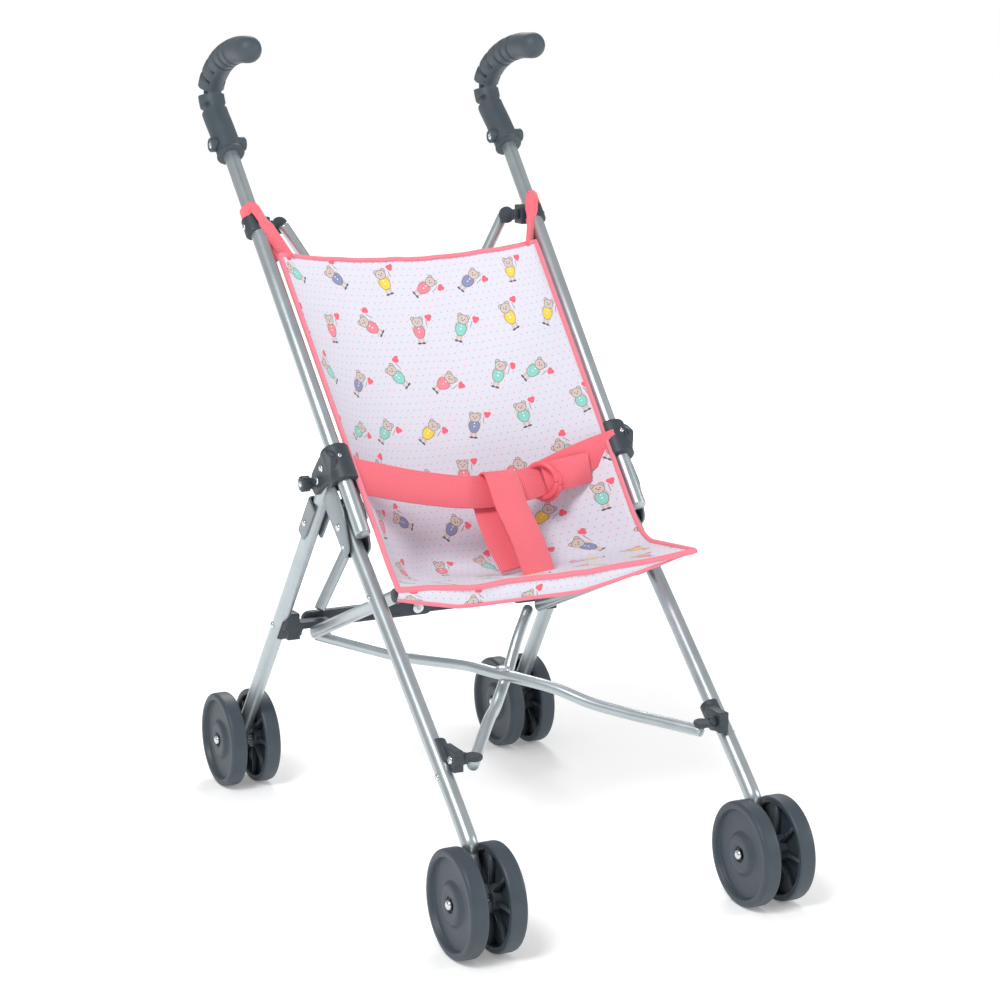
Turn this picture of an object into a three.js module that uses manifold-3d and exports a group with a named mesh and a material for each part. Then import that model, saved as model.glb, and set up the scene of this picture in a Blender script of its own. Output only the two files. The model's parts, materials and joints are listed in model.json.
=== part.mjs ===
// Doll umbrella stroller. Millimetres, +Z up, the child faces -Y, +X is the doll's left hand side.
// Sizes and places below are measured from the floor, in the middle of the width and of the wheelbase.
import * as THREE from 'three';
import * as BufferGeometryUtils from 'three/addons/utils/BufferGeometryUtils.js';
import Module from 'manifold-3d';

const wasm = await Module();
wasm.setup();

// ---- driving dimensions ----
const GAP = 0.3; // clearance between pieces that touch
const FRAME_TUBE_D = 11; // handle tubes and legs
const BRACE_TUBE_D = 8; // tubes of both scissor crosses
const WHEEL_D = 70;
const WHEEL_WIDTH = 12;
const WHEEL_SIDES = 24;
const LEG_SIDE_PLAY = 1.8; // free space between a leg and each of its twin wheels
const HALF_WHEELBASE = 194;
const KNUCKLE_HALF_WIDTH = 104.4; // middle of the stroller to the lower end of a handle tube
const FRONT_LEG_SPLAY = -0.4; // of each foot, out from the knuckle
const REAR_LEG_SPLAY = 10;
const KNUCKLE_Y = 15;
const KNUCKLE_Z = 272;
const HANDLE_LEAN = THREE.MathUtils.degToRad(42.9); // from vertical, backwards
const HANDLE_SPLAY = 0.021; // outwards per unit of length
const HANDLE_BELOW_KNUCKLE = 54;
const HANDLE_ABOVE_KNUCKLE = 298;
const GRIP_START = 268; // along the handle tube, from the knuckle
const GRIP_R = 9.5;
const COLLAR_WALL = 4.5;
const COLLAR_LENGTH = 27;
const PLATE = 4; // thickness of the moulded ears and arms
const SHEET = 1.5; // wall of the pressed channels
const PIN_R = 2.4;
const AXLE_R = 3;
const AXLE_HEAD_R = 5;
const AXLE_HEAD = 1.6;
const BARREL_R = 4; // of the swivels
const DISC_R = 8;
const DISC_THICKNESS = 3;
const SWIVEL_REACH = 9; // of the barrel, out from the disc's middle
const SWIVEL_INSET = 14.4; // upper swivels, in from the knuckle
const CLAMP_ABOVE_KNUCKLE = 203;
const FRONT_PIVOT_Z = 111.7;
const FRONT_PIVOT_INSET = 20; // in from the foot
const FRONT_PIVOT_AHEAD = 13.575; // of the leg
const ARM_Z = 138.5; // rear brackets' arms
const ARM_AHEAD = 5.67; // of the rear leg
const ARM_INSET = 30.4; // of their inner ends, in from the knuckle
const ARM_DEPTH = 12;
const RAIL_PIVOT_Z = 193.5;
const RAIL_WIDTH = 7;
const RAIL_HEIGHT = 9;
const RAIL_INSET = 14.4; // of the seat rails' middle, in from the knuckle's
const RAIL_NOSE = 12; // of rail and cap ahead of the rail's pivot
const CAP_LENGTH = 9;
const LOCK_BAR_HEIGHT = 12;
const LOCK_BAR_DEPTH = 5;
const LOCK_BAR_PLAY = 2; // between the arms and the nearer half of the lock bar
const LOCK_LAP = 12; // of its two halves past the middle
const SLING_THICKNESS = 3;
const WEBBING = 1.6;
const LAP_STRAP_HEIGHT = 26;
const LAP_SAG = 16; // the strap's middle stands this far ahead of its ends
const CROTCH_STRAP_WIDTH = 24;

const TUBE_R = FRAME_TUBE_D / 2;
const BRACE_R = BRACE_TUBE_D / 2;
const WHEEL_R = WHEEL_D / 2;
const FRONT_HALF_TRACK = KNUCKLE_HALF_WIDTH + FRONT_LEG_SPLAY;
const REAR_HALF_TRACK = KNUCKLE_HALF_WIDTH + REAR_LEG_SPLAY;
const WHEEL_OFFSET = TUBE_R + LEG_SIDE_PLAY + WHEEL_WIDTH / 2; // leg's middle to wheel's middle

// ---- places, given for the +X side; the other side is their mirror image ----
const V = (x, y, z) => new THREE.Vector3(x, y, z);
const HANDLE_DIR = V(HANDLE_SPLAY, Math.sin(HANDLE_LEAN), Math.cos(HANDLE_LEAN)).normalize();
const KNUCKLE = V(KNUCKLE_HALF_WIDTH + HANDLE_SPLAY * HANDLE_BELOW_KNUCKLE, KNUCKLE_Y, KNUCKLE_Z);
const onHandle = (t) => KNUCKLE.clone().addScaledVector(HANDLE_DIR, t);
const HANDLE_BOTTOM = onHandle(-HANDLE_BELOW_KNUCKLE);
const FRONT_AXLE = V(FRONT_HALF_TRACK, -HALF_WHEELBASE, WHEEL_R);
const REAR_AXLE = V(REAR_HALF_TRACK, HALF_WHEELBASE, WHEEL_R);
const FRONT_LEG_TOP = V(HANDLE_BOTTOM.x, KNUCKLE_Y - 1.2, KNUCKLE_Z - 29);
const FRONT_LEG_BEND = FRONT_AXLE.clone().add(V(-1.2, 18.4, 40));
const FRONT_LEG_DIR = FRONT_LEG_TOP.clone().sub(FRONT_LEG_BEND).normalize();
const REAR_PIVOT = V(KNUCKLE.x, KNUCKLE_Y + 21, KNUCKLE_Z - 14);
const REAR_LEG_DIR = REAR_PIVOT.clone().sub(REAR_AXLE).normalize();
// the points of the legs' middle lines at a height
const onFrontLeg = (z) => FRONT_LEG_TOP.clone()
  .addScaledVector(FRONT_LEG_DIR, (z - FRONT_LEG_TOP.z) / FRONT_LEG_DIR.z);
const onRearLeg = (z) => REAR_PIVOT.clone()
  .addScaledVector(REAR_LEG_DIR, (z - REAR_PIVOT.z) / REAR_LEG_DIR.z);
const CLAMP = onHandle(CLAMP_ABOVE_KNUCKLE);
const UPPER_PIVOT = V(KNUCKLE_HALF_WIDTH - SWIVEL_INSET, CLAMP.y + 5, CLAMP.z);
const FRONT_PIVOT = onFrontLeg(FRONT_PIVOT_Z).setX(FRONT_HALF_TRACK - FRONT_PIVOT_INSET)
  .add(V(0, -FRONT_PIVOT_AHEAD, 0));
const ARM_Y = onRearLeg(ARM_Z).y - ARM_AHEAD; // middle of the rear brackets' arms
const ARM_REACH = KNUCKLE_HALF_WIDTH - ARM_INSET; // inner end of the arms, from the middle
const REAR_PIN_X = ARM_REACH + 6; // where the braces meet the arms
const RAIL_X = KNUCKLE_HALF_WIDTH - RAIL_INSET;
const RAIL_PIVOT = onFrontLeg(RAIL_PIVOT_Z).setX(RAIL_X);
const RAIL_BACK = V(RAIL_X, ARM_Y - ARM_DEPTH / 2 - 3, ARM_Z + 2);
const RAIL_DIR = RAIL_PIVOT.clone().sub(RAIL_BACK).normalize();
// where the lock bar's halves meet
const LOCK_BAR_Y = ARM_Y + ARM_DEPTH / 2 + LOCK_BAR_PLAY + LOCK_BAR_DEPTH + GAP / 2;

// ---- finishes ----
const finish = (color, roughness, metalness) => () =>
  new THREE.MeshStandardMaterial({ color, roughness, metalness });
const silver = finish(0xaab3b8, 0.35, 0.8);
const pressedSteel = finish(0x8c949a, 0.4, 0.85);
const zinc = finish(0xd5d8da, 0.25, 1);
const slate = finish(0x49545e, 0.55, 0);
const print = finish(0xe6e6f0, 0.9, 0);
const coral = finish(0xf9707e, 0.85, 0);
const coralPlastic = finish(0xf46473, 0.4, 0);

const group = new THREE.Group();
function addPiece(name, geometry, material) {
  geometry.computeVertexNormals();
  const mesh = new THREE.Mesh(geometry, material());
  mesh.name = name;
  group.add(mesh);
  return mesh;
}

// ---- solids ----
function toSolid(geometry) {
  const bare = geometry.clone();
  bare.deleteAttribute('normal');
  bare.deleteAttribute('uv');
  const merged = BufferGeometryUtils.mergeVertices(bare, 1e-4);
  return new wasm.Manifold(new wasm.Mesh({
    numProp: 3,
    vertProperties: new Float32Array(merged.attributes.position.array),
    triVerts: new Uint32Array(merged.index.array),
  }));
}
function toGeometry(solid) {
  const mesh = solid.getMesh();
  const geometry = new THREE.BufferGeometry();
  geometry.setAttribute('position', new THREE.BufferAttribute(new Float32Array(mesh.vertProperties), 3));
  geometry.setIndex(new THREE.BufferAttribute(new Uint32Array(mesh.triVerts), 1));
  return geometry;
}
const join = (...geometries) => toGeometry(geometries.map(toSolid).reduce((a, b) => a.add(b)));
const cut = (body, ...tools) =>
  toGeometry(tools.map(toSolid).reduce((a, b) => a.subtract(b), toSolid(body)));

// A geometry made along +Y is turned to run from one point to another.
function between(geometry, from, to) {
  const turn = new THREE.Quaternion().setFromUnitVectors(V(0, 1, 0), to.clone().sub(from).normalize());
  const middle = from.clone().add(to).multiplyScalar(0.5);
  return geometry.applyQuaternion(turn).translate(middle.x, middle.y, middle.z);
}
const rod = (from, to, radius, sides = 12) =>
  between(new THREE.CylinderGeometry(radius, radius, from.distanceTo(to), sides), from, to);
// A bar's section: width along X, depth across it.
function bar(from, to, width, depth) {
  const along = to.clone().sub(from);
  const frame = new THREE.Matrix4();
  const up = along.clone().normalize();
  const side = V(1, 0, 0).addScaledVector(up, -up.x).normalize();
  frame.makeBasis(side, up, V(0, 0, 0).crossVectors(side, up));
  const middle = from.clone().add(to).multiplyScalar(0.5);
  frame.setPosition(middle);
  return new THREE.BoxGeometry(width, along.length(), depth).applyMatrix4(frame);
}
function block(x0, x1, y0, y1, z0, z1) {
  const geometry = new THREE.BoxGeometry(Math.abs(x1 - x0), Math.abs(y1 - y0), Math.abs(z1 - z0));
  return geometry.translate((x0 + x1) / 2, (y0 + y1) / 2, (z0 + z1) / 2);
}
function circle(radius, sides) {
  const angles = Array.from({ length: sides }, (_, i) => (i / sides) * Math.PI * 2);
  return new THREE.Shape(angles.map((a) => new THREE.Vector2(radius * Math.cos(a), radius * Math.sin(a))));
}
function bentTube(points, radius, steps, sides = 10) {
  const path = new THREE.CatmullRomCurve3(points, false, 'centripetal');
  return new THREE.ExtrudeGeometry(circle(radius, sides), { steps, extrudePath: path });
}
// Mirrors a geometry to the -X side and turns its faces back out.
function onSide(geometry, side) {
  if (side > 0) return geometry;
  const flipped = geometry.index ? geometry.toNonIndexed() : geometry.clone();
  flipped.scale(-1, 1, 1);
  const position = flipped.attributes.position;
  for (let i = 0; i < position.count; i += 3) {
    const [x, y, z] = [position.getX(i), position.getY(i), position.getZ(i)];
    position.setXYZ(i, position.getX(i + 1), position.getY(i + 1), position.getZ(i + 1));
    position.setXYZ(i + 1, x, y, z);
  }
  return flipped;
}

// ---- handle tube, grip and knuckle ----
function handleTube() {
  return rod(HANDLE_BOTTOM, onHandle(HANDLE_ABOVE_KNUCKLE), TUBE_R);
}
// the hooked grip's middle line, backwards and up from where it starts on the tube
const GRIP_ROUTE = [[0, 0], [18, 16.5], [34, 31], [39.5, 45.5], [28, 59], [7, 69.5], [-18, 75], [-39, 76]];
function grip() {
  const start = onHandle(GRIP_START);
  const route = GRIP_ROUTE.map(([back, up]) => start.clone().add(V(0, back, up)));
  const body = bentTube(route, GRIP_R, 14);
  const ball = new THREE.SphereGeometry(GRIP_R, 12, 8).translate(...route.at(-1).toArray());
  const socket = rod(onHandle(GRIP_START - 5), onHandle(HANDLE_ABOVE_KNUCKLE + GAP), TUBE_R + GAP);
  return cut(join(body, ball), socket);
}
function knuckleCollar() {
  const half = COLLAR_LENGTH / 2;
  const ring = rod(onHandle(-half), onHandle(half), TUBE_R + COLLAR_WALL, 16);
  const inner = REAR_PIVOT.x + TUBE_R + GAP;
  const reach = REAR_PIVOT.clone().sub(KNUCKLE).setX(0);
  const from = KNUCKLE.clone().setX(inner + PLATE / 2).addScaledVector(reach, -0.1);
  const ear = bar(from, from.clone().addScaledVector(reach, 1.35), PLATE, 15);
  const pinIn = REAR_PIVOT.clone().setX(REAR_PIVOT.x - TUBE_R - 1);
  const pin = rod(pinIn, REAR_PIVOT.clone().setX(inner + PLATE + 1), PIN_R, 10);
  const bore = rod(onHandle(-half - 2), onHandle(half + 2), TUBE_R + GAP, 12);
  return cut(join(ring, ear, pin), bore);
}
// A channel pressed from sheet, with its web behind the front leg and open to the front, where it
// takes the lower end of the handle tube.
function frontChannel() {
  const normal = V(0, -FRONT_LEG_DIR.z, FRONT_LEG_DIR.y).normalize();
  const inside = TUBE_R + GAP + 1;
  const low = FRONT_LEG_TOP.clone().addScaledVector(FRONT_LEG_DIR, -34);
  const high = FRONT_LEG_TOP.clone().addScaledVector(FRONT_LEG_DIR, 3);
  const depth = 2 * inside + 13;
  const shift = depth / 2 - inside;
  const shell = bar(low, high, 2 * (inside + SHEET), depth + 2 * SHEET).translate(...normal.clone()
    .multiplyScalar(shift).toArray());
  const hollow = bar(low.clone().addScaledVector(FRONT_LEG_DIR, -5), high.clone()
    .addScaledVector(FRONT_LEG_DIR, 5), 2 * inside, depth + 8 * SHEET).translate(...normal.clone()
    .multiplyScalar(shift + 4 * SHEET).toArray());
  return cut(shell, hollow);
}

// ---- legs ----
function frontLeg() {
  const knee = FRONT_LEG_BEND;
  const foot = FRONT_AXLE.clone().add(FRONT_AXLE.clone().sub(knee).normalize().multiplyScalar(TUBE_R + 1));
  const elbow = new THREE.SphereGeometry(TUBE_R, 12, 8).translate(...knee.toArray());
  return cut(join(rod(FRONT_LEG_TOP, knee, TUBE_R), elbow, rod(knee, foot, TUBE_R)), axleBore(FRONT_AXLE));
}
function rearLeg() {
  const top = REAR_PIVOT.clone().addScaledVector(REAR_LEG_DIR, TUBE_R);
  const foot = REAR_AXLE.clone().addScaledVector(REAR_LEG_DIR, -TUBE_R - 1);
  const beside = (distance) => REAR_PIVOT.clone().add(V(distance, 0, 0));
  const pinHole = rod(beside(-20), beside(20), PIN_R + GAP);
  return cut(rod(top, foot, TUBE_R), axleBore(REAR_AXLE), pinHole);
}
const axleBore = (axle) =>
  rod(axle.clone().add(V(-20, 0, 0)), axle.clone().add(V(20, 0, 0)), AXLE_R + GAP, 12);
// Pressed channel that stiffens the head of the rear leg, open to the front.
function rearChannel() {
  const inside = TUBE_R + GAP;
  const normal = V(0, -REAR_LEG_DIR.z, REAR_LEG_DIR.y).normalize();
  const high = REAR_PIVOT.clone().addScaledVector(REAR_LEG_DIR, -20);
  const low = REAR_PIVOT.clone().addScaledVector(REAR_LEG_DIR, -52);
  const shell = bar(low, high, 2 * (inside + SHEET), 2 * (inside + SHEET));
  const hollow = bar(low.clone().addScaledVector(REAR_LEG_DIR, -5), high.clone()
    .addScaledVector(REAR_LEG_DIR, 5), 2 * inside, 2 * inside + 20).translate(...normal.clone()
    .multiplyScalar(10).toArray());
  return cut(shell, hollow);
}

// ---- wheels ----
// A tyre-and-disc moulding: flat tread, raised rim, recessed ring, domed hub and a ribless dished back.
function wheel(axle, inward) {
  const half = WHEEL_WIDTH / 2;
  const tread = WHEEL_R / Math.cos(Math.PI / WHEEL_SIDES); // the facets' flats touch the floor
  const bore = AXLE_R + GAP;
  const profile = [
    [bore, -half], [9, -half], [9, -half + 6], [tread - 6, -half + 6], [tread - 4, -half],
    [tread, -half], [tread, half - 1], [tread - 1, half], [tread - 4, half],
    [tread - 5, half - 2], [14, half - 2], [11, half - 0.5], [bore, half - 0.5], [bore, -half],
  ].map(([radius, height]) => new THREE.Vector2(radius, height));
  const geometry = new THREE.LatheGeometry(profile, WHEEL_SIDES);
  geometry.rotateY(Math.PI / WHEEL_SIDES).rotateZ(inward ? Math.PI / 2 : -Math.PI / 2);
  const x = axle.x + (inward ? -WHEEL_OFFSET : WHEEL_OFFSET);
  return geometry.translate(x, axle.y, axle.z);
}
function axlePin(axle) {
  const reach = WHEEL_OFFSET + WHEEL_WIDTH / 2 + GAP;
  const end = (distance) => axle.clone().add(V(distance, 0, 0));
  return join(
    rod(end(-reach - 0.5), end(reach + 0.5), AXLE_R, 12),
    rod(end(reach), end(reach + AXLE_HEAD), AXLE_HEAD_R, 12),
    rod(end(-reach - AXLE_HEAD), end(-reach), AXLE_HEAD_R, 12),
  );
}

// ---- brackets that carry the scissor braces ----
function ringOn(centre, direction, wall, length) {
  const half = direction.clone().multiplyScalar(length / 2);
  return rod(centre.clone().sub(half), centre.clone().add(half), TUBE_R + wall, 14);
}
function boreOn(centre, direction, length) {
  const half = direction.clone().multiplyScalar(length);
  return rod(centre.clone().sub(half), centre.clone().add(half), TUBE_R + GAP, 12);
}
function upperClamp() {
  const ring = ringOn(CLAMP, HANDLE_DIR, 3, 16);
  const face = UPPER_PIVOT.x + SWIVEL_REACH + GAP;
  const { y, z } = UPPER_PIVOT;
  const lug = block(face, CLAMP.x, y - 6, y + 6, z - 7, z + 7);
  return cut(join(ring, lug), boreOn(CLAMP, HANDLE_DIR, 40));
}
function frontBracket() {
  const centre = onFrontLeg(FRONT_PIVOT_Z);
  const ring = ringOn(centre, FRONT_LEG_DIR, 3, 18);
  const face = FRONT_PIVOT.x + SWIVEL_REACH + GAP;
  const { y, z } = FRONT_PIVOT;
  const arm = block(face, face + 7, y - 6, centre.y, z - 7, z + 7);
  return cut(join(ring, arm), boreOn(centre, FRONT_LEG_DIR, 40));
}
function swivel(pivot, normal) {
  const half = normal.clone().multiplyScalar(DISC_THICKNESS / 2);
  const disc = rod(pivot.clone().sub(half), pivot.clone().add(half), DISC_R, 14);
  const beside = (distance) => pivot.clone().add(V(distance, 0, 0));
  return join(disc, rod(beside(4.5), beside(SWIVEL_REACH), BARREL_R));
}
function rearBracket() {
  const centre = onRearLeg(ARM_Z);
  const ring = ringOn(centre, REAR_LEG_DIR, 3, 20);
  const [front, back] = [ARM_Y - ARM_DEPTH / 2, ARM_Y + ARM_DEPTH / 2];
  const arm = block(ARM_REACH, centre.x - 2, front, back, ARM_Z - 2.5, ARM_Z + 2.5);
  const cheek = block(centre.x - TUBE_R - 6, centre.x - 2, front, back, ARM_Z - 10, ARM_Z + 10);
  return cut(join(ring, arm, cheek), boreOn(centre, REAR_LEG_DIR, 40));
}

// ---- scissor braces ----
const BRACE_OFFSET = DISC_THICKNESS / 2 + GAP + BRACE_R; // brace's middle from its swivel's middle
const REAR_BRACE_FOOT_Z = ARM_Z + 9;
const rearNormal = V(0, UPPER_PIVOT.z - REAR_BRACE_FOOT_Z, ARM_Y - 2 - UPPER_PIVOT.y).normalize();
// from the swivel on one side down to the arm on the other, in front of or behind both swivels
function rearBrace(side, layer) {
  const offset = rearNormal.clone().multiplyScalar(layer * BRACE_OFFSET);
  const top = V(side * UPPER_PIVOT.x, UPPER_PIVOT.y, UPPER_PIVOT.z);
  const foot = V(-side * REAR_PIN_X, ARM_Y - 2, REAR_BRACE_FOOT_Z);
  return rod(top.add(offset), foot.add(offset), BRACE_R);
}
const LOWER_BRACE_END = V(REAR_PIN_X + 5, ARM_Y - 4, ARM_Z - 2.5 - GAP - 1.5 + DISC_THICKNESS / 2);
const lowerNormal = V(0, FRONT_PIVOT.z - LOWER_BRACE_END.z, LOWER_BRACE_END.y - FRONT_PIVOT.y).normalize();
const BRACE_JOG = BRACE_R + 0.9; // each lower brace steps aside where they cross
// from the swivel on one front leg back to below the arm on the other rear leg
function lowerBrace(side, jog) {
  const front = V(side * FRONT_PIVOT.x, FRONT_PIVOT.y, FRONT_PIVOT.z);
  const back = V(-side * LOWER_BRACE_END.x, LOWER_BRACE_END.y, LOWER_BRACE_END.z);
  const run = back.clone().sub(front);
  const steps = [[0, 0], [0.26, 0], [0.38, 1], [0.5, 1], [0.62, 1], [0.74, 0], [1, 0]];
  const points = steps.map(([share, lift]) => front.clone().addScaledVector(run, share)
    .addScaledVector(lowerNormal, -BRACE_OFFSET + lift * jog * BRACE_JOG));
  return bentTube(points, BRACE_R, 22);
}
// Rivet of a cross: its head and shank stand on the front or upper brace only.
function crossRivet(centre, normal, from) {
  const at = (distance) => centre.clone().addScaledVector(normal, distance);
  return rod(at(from + GAP), at(from + GAP + 2), 5, 12);
}

// ---- seat rails and lock bar ----
function seatRail() {
  const front = RAIL_PIVOT.clone().addScaledVector(RAIL_DIR, RAIL_NOSE - CAP_LENGTH - GAP);
  return bar(RAIL_BACK, front, RAIL_WIDTH, RAIL_HEIGHT);
}
function railCap() {
  const from = RAIL_PIVOT.clone().addScaledVector(RAIL_DIR, RAIL_NOSE - CAP_LENGTH);
  return bar(from, RAIL_PIVOT.clone().addScaledVector(RAIL_DIR, RAIL_NOSE), RAIL_WIDTH + 1, RAIL_HEIGHT + 1);
}
const LOCK_PIVOT_X = REAR_PIN_X + 6;
function lockBar(side) {
  const y = LOCK_BAR_Y + (side * (LOCK_BAR_DEPTH + GAP)) / 2;
  const half = LOCK_BAR_DEPTH / 2;
  const z = ARM_Z;
  return block(-side * LOCK_LAP, side * (LOCK_PIVOT_X + 5), y - half, y + half,
    z - LOCK_BAR_HEIGHT / 2, z + LOCK_BAR_HEIGHT / 2);
}

// Head of the pin through both halves, standing on the front one.
function lockPin() {
  const face = LOCK_BAR_Y - GAP / 2 - LOCK_BAR_DEPTH - GAP;
  return rod(V(0, face - 2, ARM_Z), V(0, face, ARM_Z), 4.5, 12);
}
// Knob on the outer end of the left rear leg's pivot, pulled outwards to free the fold.
function latchKnob() {
  const inner = REAR_PIVOT.x + TUBE_R + GAP + PLATE + 1 + GAP;
  const at = (x) => REAR_PIVOT.clone().setX(x);
  return join(rod(at(inner), at(inner + 3), 4, 12), rod(at(inner + 2.5), at(inner + 9), 6.5, 14));
}

// ---- fabric and webbing, as plain closed solids ----
const BACK_TOP = V(0, UPPER_PIVOT.y - 26, UPPER_PIVOT.z - 17);
const SEAT_BEND = RAIL_BACK.clone().lerp(RAIL_PIVOT, 0.46).setX(0).add(V(0, 0, 19.2)); // above the rails
const SEAT_FRONT = V(0, RAIL_PIVOT.y - 16, RAIL_PIVOT.z + 13.5);
const SLING_HALF_WIDTH = RAIL_X - RAIL_WIDTH / 2 - 3;
function profileAcross(points, halfWidth) {
  const shape = new THREE.Shape(points.map(([y, z]) => new THREE.Vector2(y, z)));
  const geometry = new THREE.ExtrudeGeometry(shape, { depth: 2 * halfWidth, bevelEnabled: false });
  return geometry.rotateX(Math.PI / 2).rotateZ(Math.PI / 2).translate(-halfWidth, 0, 0);
}
function seatSling() {
  const t = SLING_THICKNESS;
  return profileAcross([
    [BACK_TOP.y, BACK_TOP.z], [SEAT_BEND.y, SEAT_BEND.z], [SEAT_FRONT.y, SEAT_FRONT.z],
    [SEAT_FRONT.y, SEAT_FRONT.z - t], [SEAT_BEND.y + t / 2, SEAT_BEND.z - t],
    [BACK_TOP.y + t, BACK_TOP.z],
  ], SLING_HALF_WIDTH);
}
function frontValance() {
  const t = 2;
  const y = SEAT_FRONT.y - t - GAP;
  return block(-SLING_HALF_WIDTH, SLING_HALF_WIDTH, y, y + t, SEAT_FRONT.z - 20, SEAT_FRONT.z);
}
const LAP_Z = KNUCKLE_Z - 14;
const LAP_END_Y = KNUCKLE_Y + 19;
function lapStrap() {
  const half = KNUCKLE_HALF_WIDTH - TUBE_R - 5;
  const steps = 8;
  const face = Array.from({ length: steps + 1 }, (_, i) => {
    const x = -half + (2 * half * i) / steps;
    return new THREE.Vector2(x, LAP_END_Y - LAP_SAG * (1 - (x / half) ** 2));
  });
  const back = face.map((point) => new THREE.Vector2(point.x, point.y + WEBBING)).reverse();
  const shape = new THREE.Shape([...face, ...back]);
  const geometry = new THREE.ExtrudeGeometry(shape, { depth: LAP_STRAP_HEIGHT, bevelEnabled: false });
  return geometry.translate(0, 0, LAP_Z - LAP_STRAP_HEIGHT / 2);
}
const CROTCH_TOP = V(0, LAP_END_Y - LAP_SAG - WEBBING - 1, LAP_Z);
function crotchStrap() {
  const low = V(CROTCH_TOP.x, SEAT_FRONT.y + 24, SEAT_FRONT.z - 1);
  return bar(low, CROTCH_TOP, CROTCH_STRAP_WIDTH, WEBBING);
}
function buckleRing() {
  const x = 58;
  const ring = new THREE.TorusGeometry(13, 2, 8, 20);
  return ring.rotateX(Math.PI / 2).translate(x, LAP_END_Y - LAP_SAG - 1, LAP_Z - 4);
}
function cornerLoop() {
  const low = V(SLING_HALF_WIDTH - 6, BACK_TOP.y - 4, BACK_TOP.z + 3);
  return bar(low, V(SLING_HALF_WIDTH - 2, UPPER_PIVOT.y - 16, UPPER_PIVOT.z + 4), 7, WEBBING);
}

// ---- assembly ----
for (const [label, side] of [['left', -1], ['right', 1]]) {
  const add = (name, geometry, material) => addPiece(`${name}_${label}`, onSide(geometry, side), material);
  add('handle_tube', handleTube(), silver);
  add('grip', grip(), slate);
  add('knuckle_collar', knuckleCollar(), slate);
  add('front_channel', frontChannel(), pressedSteel);
  add('front_leg', frontLeg(), silver);
  add('rear_leg', rearLeg(), silver);
  add('rear_channel', rearChannel(), pressedSteel);
  add('rear_bracket', rearBracket(), slate);
  add('front_bracket', frontBracket(), slate);
  add('upper_clamp', upperClamp(), slate);
  add('upper_swivel', swivel(UPPER_PIVOT, rearNormal), slate);
  add('lower_swivel', swivel(FRONT_PIVOT, lowerNormal), slate);
  add('seat_rail', seatRail(), silver);
  add('rail_cap', railCap(), slate);
  add('corner_loop', cornerLoop(), coral);
  for (const [end, axle] of [['front', FRONT_AXLE], ['rear', REAR_AXLE]]) {
    add(`${end}_axle`, axlePin(axle), zinc);
    add(`${end}_wheel_inner`, wheel(axle, true), slate);
    add(`${end}_wheel_outer`, wheel(axle, false), slate);
  }
  addPiece(`rear_brace_${label}`, rearBrace(side, side), silver);
  addPiece(`lower_brace_${label}`, lowerBrace(side, side), silver);
  addPiece(`lock_bar_${label}`, lockBar(side), slate);
}
const rearCross = V(0, 0, 0).lerpVectors(UPPER_PIVOT, V(REAR_PIN_X, ARM_Y - 2, REAR_BRACE_FOOT_Z),
  UPPER_PIVOT.x / (UPPER_PIVOT.x + REAR_PIN_X)).setX(0);
const rearRivet = crossRivet(rearCross, rearNormal.clone().negate(), BRACE_OFFSET + BRACE_R);
addPiece('rear_brace_rivet', rearRivet, zinc);
const lowerCross = V(0, 0, 0).lerpVectors(FRONT_PIVOT, LOWER_BRACE_END,
  FRONT_PIVOT.x / (FRONT_PIVOT.x + LOWER_BRACE_END.x)).setX(0);
const lowerRivet = crossRivet(lowerCross, lowerNormal, -BRACE_OFFSET + BRACE_JOG + BRACE_R);
addPiece('lower_brace_rivet', lowerRivet, zinc);
addPiece('lock_pin', lockPin(), zinc);
addPiece('latch_knob', onSide(latchKnob(), -1), slate);
addPiece('seat_sling', seatSling(), print);
addPiece('front_valance', frontValance(), print);
addPiece('lap_strap', lapStrap(), coral);
addPiece('crotch_strap', crotchStrap(), coral);
addPiece('buckle_ring', buckleRing(), coralPlastic);

// The origin lies on the floor below the middle of the whole stroller's box.
const extent = new THREE.Box3().setFromObject(group);
group.position.y = -(extent.min.y + extent.max.y) / 2;

export default group;
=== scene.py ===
import json
import math

import bmesh
import bpy
import numpy as np
from mathutils import Matrix, Vector, noise


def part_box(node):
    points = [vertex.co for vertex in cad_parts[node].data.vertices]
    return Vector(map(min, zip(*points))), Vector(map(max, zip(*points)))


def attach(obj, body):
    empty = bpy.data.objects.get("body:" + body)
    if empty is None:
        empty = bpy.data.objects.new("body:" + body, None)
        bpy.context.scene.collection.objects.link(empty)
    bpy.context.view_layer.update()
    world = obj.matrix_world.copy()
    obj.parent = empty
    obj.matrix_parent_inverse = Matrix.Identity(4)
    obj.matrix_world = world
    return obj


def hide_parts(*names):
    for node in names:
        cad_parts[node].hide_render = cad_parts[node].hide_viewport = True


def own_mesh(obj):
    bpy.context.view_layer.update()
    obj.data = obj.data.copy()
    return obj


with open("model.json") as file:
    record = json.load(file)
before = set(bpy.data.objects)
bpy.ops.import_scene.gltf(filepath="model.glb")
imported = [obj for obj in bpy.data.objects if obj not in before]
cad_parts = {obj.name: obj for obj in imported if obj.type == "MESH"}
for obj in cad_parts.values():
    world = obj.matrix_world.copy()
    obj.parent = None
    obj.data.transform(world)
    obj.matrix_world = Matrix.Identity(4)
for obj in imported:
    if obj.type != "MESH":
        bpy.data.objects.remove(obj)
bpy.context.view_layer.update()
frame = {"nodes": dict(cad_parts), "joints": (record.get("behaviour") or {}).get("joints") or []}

MM = 0.001
SIDES = {"left": -1, "right": 1}
ACROSS, BACK, UP = Vector((1, 0, 0)), Vector((0, 1, 0)), Vector((0, 0, 1))

# ---- sizes, in millimetres ----
TUBE_R = 5.5
BRACE_R = 4.0
HANDLE_BELOW_KNUCKLE = 54
CLAMP_ABOVE_KNUCKLE = 203
GRIP_R = 9.5
GRIP_ON_TUBE = 30
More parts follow.
